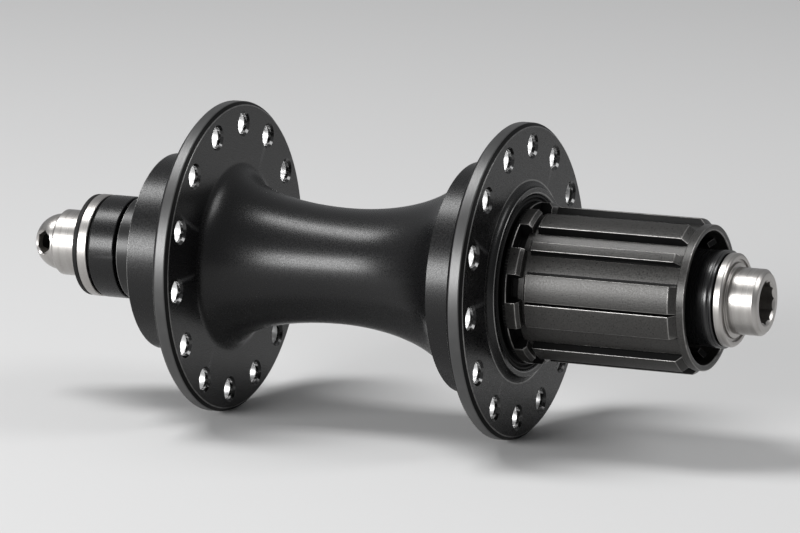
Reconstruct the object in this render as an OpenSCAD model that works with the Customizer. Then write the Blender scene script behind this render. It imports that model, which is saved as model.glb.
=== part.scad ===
// Rear bicycle hub: hollow axle, flanged shell on two cartridge bearings, and a splined
// cassette freehub with three sprung pawls on two smaller bearings.
// The axle lies along Y, the drive side faces -Y, the bicycle's front is +X and up is +Z.
// Places along the axle are written as t, the distance from the hub's centre towards the
// drive side, so t is the same as -Y. Angles are counted about the axle from +X towards +Z.

/* [Axle] */
// Distance between the two faces that the frame's dropouts clamp
dropout_w = 148; // [146:0.5:154]
// Diameter of the hole for the quick-release skewer
skewer_d = 5.2; // [5:0.1:6]
// Diameter of the axle where the bearings sit
axle_d = 15; // [14.6:0.1:15.4]
// Diameter of the hollow inside the axle
axle_hollow_d = 10; // [9:0.1:10.6]
// Diameter of the axle's slim end and of its round nose
nose_d = 12.2; // [11.6:0.1:12.6]
// How far the centre of the round nose stands out of the left dropout face
nose_reach = 7.6; // [7:0.1:9]
// Width across the flats of the hexagonal key hole in the nose
key_af = 4.4; // [3.6:0.1:4.8]
// Distance from the left dropout face in to where the axle thickens
journal_inset = 12; // [10:0.5:14]
// Distance from the left dropout face in to where the axle's hollow widens
hollow_inset = 4; // [2:0.5:8]
// Diameter of the silver sleeve that lies in the left dropout
left_end_d = 14.2; // [13.6:0.1:14.8]
// How far the sleeve stands out of the left dropout face
left_end_l = 7.3; // [6.5:0.1:7.4]

/* [Right end cap] */
// Diameter of the stub that lies in the right dropout
right_end_d = 13.8; // [12.4:0.1:14.4]
// How far the stub stands out of the right dropout face
right_end_l = 6.4; // [5.5:0.1:8]
// Width across the flats of the twelve-point key socket
socket_af = 8; // [7:0.1:9]
// Depth of the key socket
socket_depth = 7; // [5:0.1:9]
// Diameter of the silver collar
collar_d = 19.4; // [18.4:0.1:20]
// Width of the silver collar
collar_w = 1.8; // [1.2:0.1:3]
// Length of the plug that holds the cap in the hollow axle
plug_l = 14; // [8:0.5:24]
// Diameter of the black dust cap
dust_cap_d = 20.3; // [19.4:0.1:21]
// Depth of the waist turned into the dust cap
dust_cap_waist = 0.3; // [0:0.05:0.6]

/* [Left stack] */
// Diameter of the lock ring and of the black spacer behind it
lock_ring_d = 22; // [20:0.1:24]
// Width of the lock ring
lock_ring_w = 2.25; // [1.5:0.05:3]
// Width of the rubber washer at the dropout face
washer_w = 1.1; // [0.8:0.05:1.6]
// Thickness of the O-ring between lock ring and spacer
left_o_ring_w = 0.6; // [0.5:0.05:1]
// Width of the dark gap between the spacer and the dust shield
shield_gap = 0.8; // [0.4:0.05:1.2]
// Width of the rubber dust shield
shield_w = 7.4; // [4:0.1:8]
// Diameter of the dust shield at its outer end
shield_d = 22.2; // [21:0.1:24]
// How much wider the dust shield's lip is than its outer end
shield_flare = 1.8; // [0.6:0.1:4]

/* [Shell] */
// Diameter of both spoke flanges
flange_d = 66.4; // [64:0.2:72]
// Distance from the centre to the left flange's outboard face
left_flange_t = 43.7; // [42:0.1:45]
// Thickness of the left flange
left_flange_w = 3.7; // [3:0.1:4.5]
// Distance from the centre to the right flange's outboard face
right_flange_t = 26.8; // [26:0.1:27.6]
// Thickness of the right flange
right_flange_w = 3.75; // [3:0.05:4.5]
// Distance from a flange's rim to the circle of its spoke holes
spoke_inset = 4.8; // [4:0.1:6]
// Spoke holes in each flange
spoke_n = 14; // [8:1:18]
// Diameter of a spoke hole
spoke_d = 4.3; // [2.6:0.1:4.8]
// Bevel at both mouths of a spoke hole
spoke_bevel = 0.35; // [0:0.05:0.6]
// Bevel on the flanges' rims
rim_bevel = 0.55; // [0.1:0.05:1]
// Diameter of the left bearing housing
housing_d = 42; // [36:0.1:46]
// Length of the left bearing housing
housing_w = 12; // [11.5:0.1:13]
// Diameter of the shell's waist
waist_d = 24.6; // [23.6:0.1:28]
// Place of the waist along the axle
waist_t = -14.2; // [-18:0.1:-12]
// How far the bell swells from the waist to the left flange
bell_h = 8; // [5:0.1:10]
// Radial half-axis of the elliptical flare on the right
flare_h = 13.3; // [12:0.1:18]
// Diameter of the sharp-edged band beside the right flange
band_d = 48.4; // [45:0.1:50]
// Width of that band
band_w = 8.35; // [7:0.05:9]
// Diameter of the soft boss on the right flange
boss_d = 39.6; // [38.4:0.1:42]
// Height of the boss
boss_h = 1.4; // [1:0.05:1.4]
// Diameter of the shell's bore around the axle
shell_bore_d = 19; // [18.4:0.1:20]

/* [Bearings] */
// Outer diameter of the two shell bearings
shell_brg_d = 28; // [27:0.1:29]
// Width of a shell bearing
shell_brg_w = 7; // [6.6:0.1:7.2]
// Ball diameter of a shell bearing
shell_ball_d = 4.4; // [3.8:0.1:4.5]
// Balls in a shell bearing
shell_ball_n = 11; // [6:1:12]
// Depth of the left bearing behind the housing's face
left_brg_inset = 2.7; // [2.6:0.1:3.2]
// Place of the right bearing's inboard face
right_brg_t = 7; // [6:0.1:7.4]
// Outer diameter of the two freehub bearings
free_brg_d = 24; // [23.4:0.1:24.4]
// Width of a freehub bearing
free_brg_w = 5; // [4.6:0.1:5.2]
// Ball diameter of a freehub bearing
free_ball_d = 2.7; // [2.3:0.1:2.8]
// Balls in a freehub bearing
free_ball_n = 15; // [8:1:16]

/* [Ratchet] */
// Teeth of the ratchet ring
tooth_n = 36; // [36:12:36]
// Diameter over the tips of the teeth
tooth_tip_d = 29; // [28.8:0.1:29.4]
// Diameter at the roots of the teeth
tooth_root_d = 31.8; // [31.6:0.1:32.4]
// Outer diameter of the ratchet ring
ratchet_d = 35.2; // [34.6:0.1:35.6]
// Width of the ratchet ring
ratchet_w = 9.8; // [9:0.1:9.9]
// Diameter of the freehub's pawl drum
drum_d = 27.6; // [27.2:0.1:27.8]
// Distance of a pawl's pivot from the axle's centre line
pawl_pivot_r = 12.7; // [12.5:0.05:12.8]
// Thickness of a pawl's round heel
pawl_heel_d = 2.8; // [2.4:0.1:3]
// Width of a pawl along the axle
pawl_w = 6.8; // [5:0.1:7]
// Thickness of a pawl's leaf spring
leaf_w = 0.2; // [0.15:0.01:0.22]

/* [Freehub] */
// Length of the freehub outside the shell
freehub_l = 39.3; // [38:0.1:39.6]
// Diameter over the spline's lands
land_d = 32.4; // [31.6:0.1:33]
// Diameter of the floor between the lands
floor_d = 29.4; // [28.8:0.1:30]
// Angle that a land covers, in degrees
land_deg = 18; // [10:1:19]
// Places for lands around the freehub
land_n = 9; // [9:1:9]
// Angle that the narrow index rib covers, in degrees
rib_deg = 7.5; // [4:0.5:9]
// Angle that the wide index land covers, in degrees
index_deg = 20.4; // [16:0.2:21]
// Angle that a stop block covers, in degrees
block_deg = 20; // [14:1:21]
// Length of a stop block
block_l = 3.4; // [2:0.1:5]
// Diameter of the shoulder ring and the stop blocks
shoulder_d = 33.8; // [33.2:0.1:34.4]
// Width of the shoulder ring
shoulder_w = 1; // [0.6:0.1:1.6]
// Width of the relief groove beside the shoulder ring
relief_w = 1.7; // [1:0.1:2]
// Diameter at the bottom of the relief groove
relief_d = 28.2; // [27.8:0.1:28.6]
// Slope at the outboard ends of the lands
land_bevel = 1.3; // [0.6:0.1:1.6]
// Length of the plain rim past the lands
rim_l = 1.7; // [1:0.1:2.5]
// Diameter of the plain rim
rim_d = 30.2; // [29.8:0.1:30.6]
// Diameter of the open mouth
mouth_d = 27.6; // [26.6:0.1:28]
// Depth of the open mouth
mouth_depth = 7.6; // [7:0.1:8]
// Inner ribs of the mouth
mouth_rib_n = 12; // [6:1:16]
// Width of a mouth rib
mouth_rib_w = 1.6; // [1:0.1:2]
// Height of a mouth rib
mouth_rib_h = 1.3; // [0.8:0.1:1.4]
// How far the ribs stay behind the rim
mouth_rib_inset = 2.4; // [1.5:0.1:4]

/* [Hidden] */
$fn = 96;

// Clearances: press seats, turning fits, and gaps between pieces that turn past each other
PRESS = 0.02;
TURN = 0.05;
GAP = 0.3;
EDGE = 0.4;
FINE_EDGE = 0.15;

// Directions about the axle that the photograph's viewpoint fixes
VIEW_ANGLE = 166.4;
SPOKE_ANGLE = 158.4;
KEY_ANGLE = 173;
KEY_TILT = 29;
LAND_ANGLE = VIEW_ANGLE - 13.8;
RIB_ANGLE = VIEW_ANGLE - 27.2;
INDEX_ANGLE = VIEW_ANGLE + 5;
PAWL_ANGLE = 30;
PAWL_N = 3;

// The frame's faces and the axle's shoulders
LEFT_T = -dropout_w / 2;
RIGHT_T = dropout_w / 2;
axle_r = axle_d / 2;
nose_r = nose_d / 2;
sleeve_r = left_end_d / 2;
sleeve_seat_r = sleeve_r - 0.3;
skewer_r = skewer_d / 2;
nose_t = LEFT_T - nose_reach;
nose_tip_t = nose_t - sqrt(nose_r * nose_r - skewer_r * skewer_r);
axle_shoulder_t = LEFT_T + journal_inset;
hollow_start_t = LEFT_T + hollow_inset;
axle_end_t = RIGHT_T - collar_w;

// Left stack, from the dropout face inwards
lock_ring_t = LEFT_T + washer_w;
o_ring_t = lock_ring_t + lock_ring_w;
spacer_t = o_ring_t + left_o_ring_w;
housing_t = -left_flange_t - housing_w;
left_brg_t = housing_t + left_brg_inset;
shield_end_t = housing_t - GAP;
shield_t = shield_end_t - shield_w;
spacer_end_t = shield_t - shield_gap;
neck_r = axle_r + 1.5;

// Shell
flange_r = flange_d / 2;
spoke_pcd = flange_d - 2 * spoke_inset;
waist_r = waist_d / 2;
band_r = band_d / 2;
bell_t = -left_flange_t + left_flange_w;
band_t = right_flange_t - right_flange_w - band_w;
boss_t = right_flange_t + boss_h;
seal_r = boss_d / 2 - 1.5;
seal_w = 2.8;
seal_t = boss_t - seal_w;
ratchet_t = seal_t - ratchet_w;
shell_brg_r = shell_brg_d / 2;
right_brg_end_t = right_brg_t + shell_brg_w;

// Freehub
base_t = boss_t + 0.4;
freehub_end_t = base_t + freehub_l;
drum_r = drum_d / 2;
drum_t = ratchet_t + 0.2;
block_t = base_t + shoulder_w;
land_t = block_t + relief_w;
land_end_t = freehub_end_t - rim_l;
mouth_t = freehub_end_t - mouth_depth;
clip_w = 1.1;
clip_room = 1.3;
free_brg_r = free_brg_d / 2;
out_brg_t = mouth_t - clip_room - free_brg_w;
in_brg_t = base_t - 1.4;
drum_bore_r = neck_r + 0.4;
freehub_bore_r = free_brg_r - 1;
dust_cap_t = out_brg_t + free_brg_w;

// Pawls: heel at the pivot, tip this many degrees ahead of it in the driving direction
PAWL_REACH = 26;
// Slack between tip and tooth, in degrees, so that a pawl clears the tooth as it folds
PAWL_SLACK = 1.6;
pawl_t = (drum_t + in_brg_t) / 2;
pawl_tip_r = tooth_root_d / 2 - 0.55;
pawl_toe_r = tooth_tip_d / 2 - 0.9;
heel_r = pawl_heel_d / 2;
pocket_floor_r = drum_bore_r + 0.9;
tooth_deg = 360 / tooth_n;

// A point given by its distance from the axle and its angle
function polar(r, a) = [r * cos(a), r * sin(a)];

// Points of a quarter-ellipse that leaves the waist at the radius waist_r and ends at end_r
function swell(t0, t1, h, end_r, steps = 16) =
    let (last = acos(1 - (end_r - waist_r) / h), reach = (t1 - t0) / sin(last))
    [for (i = [0:steps]) let (a = last * i / steps)
        [waist_r + h * (1 - cos(a)), t0 + reach * sin(a)]];

// Turns a profile of [radius, t] points about the axle
module turned(profile) {
    rotate([90, 0, 0]) rotate_extrude() polygon(profile);
}

// Moves children that are drawn about Z to a place along the axle
module at(t) {
    rotate([90, 0, 0]) translate([0, 0, t]) children();
}

// A plain ring between two radii and two places, with bevelled outer edges
module ring(r0, r1, t0, t1, bevel = FINE_EDGE) {
    turned([[r0, t0], [r1 - bevel, t0], [r1, t0 + bevel], [r1, t1 - bevel],
        [r1 - bevel, t1], [r0, t1]]);
}

// Axle group, which the frame holds still

module axle() {
    color("silver") difference() {
        turned(concat(
            [for (a = [0:6:90]) [nose_r * sin(a), nose_t - nose_r * cos(a)]],
            [[nose_r, axle_shoulder_t], [axle_r - EDGE, axle_shoulder_t],
            [axle_r, axle_shoulder_t + EDGE], [axle_r, axle_end_t - EDGE],
            [axle_r - EDGE, axle_end_t], [0, axle_end_t]]));
        at(nose_tip_t - 1) cylinder(r = skewer_r, h = axle_end_t - nose_tip_t + 2);
        at(hollow_start_t) cylinder(d = axle_hollow_d, h = axle_end_t - hollow_start_t + 1);
        key_hole();
    }
}

// The hexagonal hole that runs from the side of the nose into the skewer bore
module key_hole() {
    key_r = key_af / 2 / cos(30);
    lip = 0.35;
    at(nose_t) rotate([0, 0, KEY_ANGLE]) rotate([0, 90 + KEY_TILT, 0]) rotate([0, 0, 30]) {
        cylinder(r = key_r, h = nose_r + 1, $fn = 6);
        translate([0, 0, nose_r - lip - key_r * key_r / nose_r / 2])
            cylinder(r1 = key_r, r2 = key_r + 1.2, h = 1.2, $fn = 48);
    }
}

// Silver sleeve: its bare end lies in the dropout, its slimmer part carries the rings behind
module left_sleeve() {
    end_t = LEFT_T - left_end_l;
    color("silver") turned([[nose_r + PRESS, end_t], [sleeve_r - EDGE / 2, end_t],
        [sleeve_r, end_t + EDGE / 2], [sleeve_r, LEFT_T], [sleeve_seat_r, LEFT_T],
        [sleeve_seat_r, axle_shoulder_t], [nose_r + PRESS, axle_shoulder_t]]);
}

module left_washer() {
    color("dimgray") ring(sleeve_r + TURN, lock_ring_d / 2 - 0.1, LEFT_T, lock_ring_t);
}

module lock_ring() {
    color("silver") ring(sleeve_seat_r + PRESS, lock_ring_d / 2, lock_ring_t, o_ring_t, EDGE / 2);
}

module left_o_ring() {
    rubber_r = left_o_ring_w / 2;
    color("black") rotate([90, 0, 0]) rotate_extrude()
        translate([lock_ring_d / 2 - 0.6 - rubber_r, o_ring_t + rubber_r]) circle(r = rubber_r, $fn = 24);
}

// Black adjusting spacer: a visible barrel, and a neck that reaches the left bearing
module left_spacer() {
    seat_r = lock_ring_d / 2 - 0.6 - left_o_ring_w - PRESS;
    color("black") turned([[sleeve_seat_r + PRESS, o_ring_t], [seat_r, o_ring_t],
        [seat_r, spacer_t], [lock_ring_d / 2 - EDGE, spacer_t],
        [lock_ring_d / 2, spacer_t + EDGE], [lock_ring_d / 2, spacer_end_t - EDGE],
        [lock_ring_d / 2 - EDGE, spacer_end_t], [neck_r, spacer_end_t],
        [neck_r, left_brg_t], [axle_r + PRESS, left_brg_t],
        [axle_r + PRESS, axle_shoulder_t], [sleeve_seat_r + PRESS, axle_shoulder_t]]);
}

module dust_shield() {
    shield_r = shield_d / 2;
    color("black") turned([[neck_r + PRESS, shield_t], [shield_r - EDGE, shield_t],
        [shield_r, shield_t + EDGE], [shield_r, shield_t + shield_w / 2],
        [shield_r + shield_flare / 2, shield_end_t - EDGE],
        [shield_r + shield_flare / 2 - EDGE, shield_end_t],
        [neck_r + shield_flare, shield_end_t], [neck_r + shield_flare, shield_end_t - 1],
        [neck_r + PRESS, shield_end_t - 1]]);
}

module center_spacer() {
    color("dimgray") ring(axle_r + PRESS, neck_r, left_brg_t + shell_brg_w, right_brg_t);
}

module mid_spacer() {
    color("dimgray") ring(axle_r + PRESS, neck_r, right_brg_end_t, in_brg_t);
}

module freehub_spacer() {
    color("dimgray") ring(axle_r + PRESS, neck_r, in_brg_t + free_brg_w, out_brg_t);
}

// Gloss black cap that covers the outboard bearing, with a waist and a thin lip
module dust_cap() {
    cap_r = dust_cap_d / 2;
    lip_t = axle_end_t - 0.3;
    foot_r = neck_r + EDGE;
    color("black") turned([[axle_r + PRESS, dust_cap_t], [neck_r, dust_cap_t],
        [neck_r, dust_cap_t + 0.3], [foot_r, dust_cap_t + 0.3], [cap_r, dust_cap_t + 1.2],
        [cap_r, mouth_t + 1], [cap_r - dust_cap_waist, (mouth_t + lip_t) / 2],
        [cap_r - 0.1, lip_t - 0.9], [cap_r - 0.35, lip_t - 0.75], [cap_r - 0.35, lip_t - 0.5],
        [cap_r, lip_t - 0.4], [cap_r, lip_t - FINE_EDGE], [cap_r - FINE_EDGE, lip_t],
        [neck_r, lip_t], [neck_r, axle_end_t], [axle_r + PRESS, axle_end_t]]);
}

// Thin rubber ring in the gap between dust cap and collar
module cap_o_ring() {
    color("black") ring(neck_r + PRESS, collar_d / 2 - 0.5, axle_end_t - 0.3, axle_end_t, 0.05);
}

// Silver cap: plug in the axle, collar at the dropout, stub with a twelve-point socket
module right_end_cap() {
    collar_r = collar_d / 2;
    stub_r = right_end_d / 2;
    end_t = RIGHT_T + right_end_l;
    groove_r = stub_r + 0.9;
    socket_r = socket_af / 2 / cos(30);
    color("silver") difference() {
        turned([[0, axle_end_t - plug_l], [axle_hollow_d / 2 - PRESS - EDGE, axle_end_t - plug_l],
            [axle_hollow_d / 2 - PRESS, axle_end_t - plug_l + EDGE],
            [axle_hollow_d / 2 - PRESS, axle_end_t], [collar_r - EDGE / 2, axle_end_t],
            [collar_r, axle_end_t + EDGE / 2], [collar_r, RIGHT_T - EDGE],
            [collar_r - EDGE, RIGHT_T], [groove_r + 0.7, RIGHT_T], [groove_r + 0.7, RIGHT_T - 0.6],
            [groove_r, RIGHT_T - 0.6], [groove_r, RIGHT_T], [stub_r, RIGHT_T],
            [stub_r, end_t - 0.8], [stub_r - 0.8, end_t], [0, end_t]]);
        at(axle_end_t - plug_l - 1) cylinder(r = skewer_r, h = plug_l + end_t - axle_end_t + 2);
        for (turn = [0, 30])
            at(end_t - socket_depth) rotate([0, 0, turn])
                cylinder(r = socket_r, h = socket_depth + 1, $fn = 6);
        at(end_t - EDGE) cylinder(r1 = socket_r - EDGE / 2, r2 = socket_r + EDGE, h = EDGE * 1.5);
    }
}

// Cartridge bearings: two rings with a groove for the balls, a cage and two shields

function pitch_r(brg_r) = (axle_r + brg_r) / 2;

// Turns the 2D profile of a bearing ring with its ball groove cut out
module race(r0, r1, brg_r, ball_d, w, t) {
    rotate([90, 0, 0]) rotate_extrude() difference() {
        translate([r0, t]) square([r1 - r0, w]);
        translate([pitch_r(brg_r), t + w / 2]) circle(d = ball_d + 2 * TURN, $fn = 64);
    }
}

module inner_race(brg_r, ball_d, w, t) {
    color("lightgray") race(axle_r + PRESS, pitch_r(brg_r) - ball_d * 0.28, brg_r, ball_d, w, t);
}

module outer_race(brg_r, ball_d, w, t) {
    color("lightgray") race(pitch_r(brg_r) + ball_d * 0.28, brg_r - PRESS, brg_r, ball_d, w, t);
}

// The two thin discs that close a bearing, just inside its faces
module shields(brg_r, ball_d, w, t) {
    r0 = pitch_r(brg_r) - ball_d * 0.28 + 0.25;
    r1 = pitch_r(brg_r) + ball_d * 0.28 - PRESS;
    plate = 0.25;
    color("dimgray") for (place = [t + 0.1, t + w - 0.1 - plate])
        ring(r0, r1, place, place + plate, 0.05);
}

// A ring between the races with a round window for each ball
module cage(brg_r, ball_d, ball_n, w, t) {
    reach = ball_d / 2 + 0.35;
    middle = t + w / 2;
    color("tan") difference() {
        ring(pitch_r(brg_r) - ball_d * 0.17, pitch_r(brg_r) + ball_d * 0.17,
            middle - reach, middle + reach, 0.05);
        for (i = [0:ball_n - 1])
            at(middle) rotate([0, 0, i * 360 / ball_n]) rotate([0, 90, 0])
                translate([0, 0, pitch_r(brg_r) - ball_d / 2])
                    cylinder(d = ball_d + 2 * TURN, h = ball_d, $fn = 32);
    }
}

module balls(brg_r, ball_d, ball_n, w, t) {
    color("white") for (i = [0:ball_n - 1])
        at(t + w / 2) rotate([0, 0, i * 360 / ball_n]) translate([pitch_r(brg_r), 0, 0])
            sphere(d = ball_d, $fn = 32);
}

// Shell group, which turns with the wheel

// Outline of the shell: housing, flange, bell, waist, flare, band, flange and soft boss
function shell_outline() = let (bore_r = shell_bore_d / 2, left_end = -left_flange_t) concat(
    [[shell_brg_r, housing_t], [housing_d / 2 - EDGE, housing_t], [housing_d / 2, housing_t + EDGE],
    [housing_d / 2, left_end], [flange_r - rim_bevel, left_end],
    [flange_r, left_end + rim_bevel], [flange_r, bell_t - rim_bevel], [flange_r - rim_bevel, bell_t]],
    [for (i = [16:-1:0]) swell(waist_t, bell_t, bell_h, waist_r + bell_h)[i]],
    [for (i = [1:16]) swell(waist_t, band_t, flare_h, band_r - GAP)[i]],
    [[band_r, band_t], [band_r, band_t + band_w], [flange_r - rim_bevel, band_t + band_w],
    [flange_r, band_t + band_w + rim_bevel], [flange_r, right_flange_t - rim_bevel],
    [flange_r - rim_bevel, right_flange_t]],
    [for (a = [0:15:90]) [boss_d / 2 + 1.6 - 1.6 * sin(a), right_flange_t + boss_h * (1 - cos(a))]],
    [[seal_r + EDGE, boss_t], [seal_r, boss_t - EDGE], [seal_r, seal_t],
    [ratchet_d / 2, seal_t], [ratchet_d / 2, ratchet_t], [shell_brg_r, ratchet_t],
    [shell_brg_r, right_brg_t], [bore_r + 2, right_brg_t], [bore_r, right_brg_t - 2],
    [bore_r, left_brg_t + shell_brg_w + 2], [bore_r + 2, left_brg_t + shell_brg_w],
    [shell_brg_r, left_brg_t + shell_brg_w]]);

module spoke_holes(t, w) {
    hole_r = spoke_d / 2;
    for (i = [0:spoke_n - 1])
        at(t) rotate([0, 0, SPOKE_ANGLE + i * 360 / spoke_n]) translate([spoke_pcd / 2, 0, 0]) {
            translate([0, 0, -1]) cylinder(r = hole_r, h = w + 2, $fn = 32);
            translate([0, 0, -0.01]) cylinder(r1 = hole_r + spoke_bevel, r2 = hole_r,
                h = spoke_bevel, $fn = 32);
            translate([0, 0, w - spoke_bevel + 0.01]) cylinder(r1 = hole_r,
                r2 = hole_r + spoke_bevel, h = spoke_bevel, $fn = 32);
        }
}

module hub_shell() {
    color("dimgray") difference() {
        turned(shell_outline());
        spoke_holes(-left_flange_t, left_flange_w);
        spoke_holes(right_flange_t - right_flange_w, right_flange_w);
    }
}

// Saw teeth: a steep face that a pawl drives, and a ramp that lifts a pawl when coasting
module ratchet_ring() {
    steep_angle = PAWL_ANGLE - PAWL_REACH - PAWL_SLACK;
    color("gray") at(ratchet_t) linear_extrude(ratchet_w) difference() {
        circle(r = ratchet_d / 2 - PRESS, $fn = 192);
        polygon([for (i = [0:tooth_n - 1]) let (a = steep_angle + i * tooth_deg)
            each [polar(tooth_tip_d / 2, a), polar(tooth_root_d / 2, a + 0.2)]]);
    }
}

module left_seal() {
    color("black") ring(neck_r + GAP, shell_brg_r - PRESS, housing_t + GAP, left_brg_t);
}

// Rubber seal around the drum, with the concentric lips that show beside the freehub
module right_seal() {
    r0 = drum_r + GAP;
    r1 = seal_r - PRESS;
    color("black") turned([[r0, seal_t], [r1, seal_t], [r1, boss_t - EDGE], [r1 - 0.5, boss_t - 0.2],
        [r1 - 0.8, boss_t - 0.7], [r1 - 1.1, boss_t - 0.2], [r1 - 1.4, boss_t - 0.2],
        [r1 - 1.6, boss_t - 0.8], [r0, boss_t - 0.8]]);
}

// Freehub group, which turns with the cassette

module land(angle, width_deg) {
    half_w = land_d / 2 * sin(width_deg / 2);
    rotate([0, 0, angle]) translate([0, -half_w]) square([land_d, 2 * half_w]);
}

// The spline seen along the axle: regular lands in all places but one, which stays open
// between the narrow rib and the wide land that make the cassette fit one way only
module spline_2d() {
    circle(d = floor_d);
    intersection() {
        circle(d = land_d);
        union() {
            for (i = [1:land_n - 1]) land(LAND_ANGLE + i * 360 / land_n, land_deg);
            land(RIB_ANGLE, rib_deg);
            land(INDEX_ANGLE, index_deg);
        }
    }
}

module spline() {
    intersection() {
        at(land_t) linear_extrude(land_end_t - land_t) spline_2d();
        turned([[0, land_t], [land_d, land_t], [land_d, land_end_t - land_d + rim_d / 2 - 0.1],
            [rim_d / 2 - 0.1, land_end_t], [0, land_end_t]]);
    }
}

module stop_blocks() {
    slope = (shoulder_d - floor_d) / 2;
    intersection() {
        turned([[relief_d / 2 - 1, base_t], [shoulder_d / 2, base_t],
            [shoulder_d / 2, block_t + block_l - slope / 2], [shoulder_d / 2 - slope, block_t + block_l],
            [relief_d / 2 - 1, block_t + block_l]]);
        at(base_t) linear_extrude(block_l + shoulder_w) for (i = [0:land_n - 1])
            land(LAND_ANGLE + i * 360 / land_n, block_deg);
    }
}

// The pawl's room: a round socket for the heel and an open slot for the rest
module pawl_pocket(angle) {
    at(pawl_t - pawl_w / 2 - 0.15) rotate([0, 0, angle]) linear_extrude(pawl_w + 0.3) {
        translate([pawl_pivot_r, 0]) circle(r = heel_r + TURN, $fn = 64);
        polygon([[pocket_floor_r, -0.3], [pawl_pivot_r, -0.3], [drum_r + 1, -0.6],
            polar(drum_r + 1, -PAWL_REACH - 5), polar(pocket_floor_r + 2, -PAWL_REACH - 5),
            [pocket_floor_r, -pawl_pivot_r * sin(PAWL_REACH + 2)]]);
    }
}

module freehub_body() {
    rib_end_t = freehub_end_t - mouth_rib_inset;
    color("gray") difference() {
        union() {
            turned([[0, drum_t], [drum_r - EDGE, drum_t], [drum_r, drum_t + EDGE], [drum_r, base_t],
                [shoulder_d / 2 - EDGE / 2, base_t], [shoulder_d / 2, base_t + EDGE / 2],
                [shoulder_d / 2, block_t - EDGE / 2], [shoulder_d / 2 - EDGE / 2, block_t],
                [relief_d / 2, block_t], [relief_d / 2, land_t + 0.5], [floor_d / 2 - 0.1, land_t + 0.5],
                [floor_d / 2 - 0.1, land_end_t - 0.5], [rim_d / 2, land_end_t - 0.5],
                [rim_d / 2, freehub_end_t - EDGE / 2], [rim_d / 2 - EDGE / 2, freehub_end_t],
                [0, freehub_end_t]]);
            spline();
            stop_blocks();
        }
        turned([[0, drum_t - 1], [drum_bore_r, drum_t - 1], [drum_bore_r, in_brg_t],
            [free_brg_r, in_brg_t], [free_brg_r, in_brg_t + free_brg_w],
            [freehub_bore_r, in_brg_t + free_brg_w], [freehub_bore_r, out_brg_t],
            [free_brg_r, out_brg_t], [free_brg_r, dust_cap_t],
            [free_brg_r + 0.7, dust_cap_t], [free_brg_r + 0.7, dust_cap_t + clip_w],
            [free_brg_r, dust_cap_t + clip_w], [free_brg_r, mouth_t], [mouth_d / 2, mouth_t],
            [mouth_d / 2, freehub_end_t - EDGE], [mouth_d / 2 + EDGE, freehub_end_t],
            [mouth_d / 2 + EDGE, freehub_end_t + 1], [0, freehub_end_t + 1]]);
        for (i = [0:PAWL_N - 1]) pawl_pocket(PAWL_ANGLE + i * 360 / PAWL_N);
    }
    color("gray") intersection() {
        turned([[mouth_d / 2 - mouth_rib_h, mouth_t - 0.2], [mouth_d / 2 + 0.3, mouth_t - 0.2],
            [mouth_d / 2 + 0.3, rib_end_t], [mouth_d / 2, rib_end_t],
            [mouth_d / 2 - mouth_rib_h, rib_end_t - mouth_rib_h]]);
        at(mouth_t - 0.2) linear_extrude(mouth_depth) for (i = [0:mouth_rib_n - 1])
            rotate([0, 0, VIEW_ANGLE + i * 360 / mouth_rib_n])
                translate([0, -mouth_rib_w / 2]) square([mouth_d, mouth_rib_w]);
    }
}

// Spring steel clip that holds the outboard bearing in the freehub
module retaining_clip() {
    r0 = free_brg_r - 0.9;
    gap_deg = 40;
    color("silver") difference() {
        ring(r0, free_brg_r + 0.7 - PRESS, dust_cap_t + PRESS, dust_cap_t + clip_w - PRESS, 0.05);
        at(dust_cap_t - 1) linear_extrude(clip_w + 2)
            polygon([[0, 0], polar(free_brg_d, VIEW_ANGLE + 180 - gap_deg / 2),
                polar(free_brg_d, VIEW_ANGLE + 180 + gap_deg / 2)]);
    }
}

// One pawl, drawn engaged in the ratchet
module pawl(angle) {
    color("silver") at(pawl_t - pawl_w / 2) rotate([0, 0, angle]) {
        translate([pawl_pivot_r, 0, 0]) cylinder(r = heel_r, h = pawl_w);
        linear_extrude(pawl_w) polygon([polar(pawl_pivot_r + heel_r * 0.9, -1.5),
            polar(tooth_tip_d / 2 - 0.45, -PAWL_REACH + tooth_deg + 1),
            polar(pawl_tip_r, -PAWL_REACH + 1.2), polar(pawl_tip_r - 0.3, -PAWL_REACH),
            polar(pawl_toe_r, -PAWL_REACH), [pawl_pivot_r - heel_r * 0.9, -0.3],
            [pawl_pivot_r, 0.3]]);
    }
}

// The folded leaf under a pawl, drawn as it lies when the pawl is pressed into its pocket
module pawl_spring(angle) {
    leaf_t = pawl_w - 1.6;
    floor_r = pocket_floor_r + PRESS;
    start = -1.75;
    end = start - pawl_w * 0.45;
    color("gold") at(pawl_t - leaf_t / 2) rotate([0, 0, angle]) linear_extrude(leaf_t)
        polygon([[floor_r, start], [floor_r + leaf_w, start], [floor_r + leaf_w, end + leaf_w],
            [floor_r + leaf_w * 1.3, end + leaf_w], [floor_r + leaf_w * 2, start - leaf_w],
            [floor_r + leaf_w * 3, start - leaf_w], [floor_r + leaf_w * 2.4, end], [floor_r, end]]);
}

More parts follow.
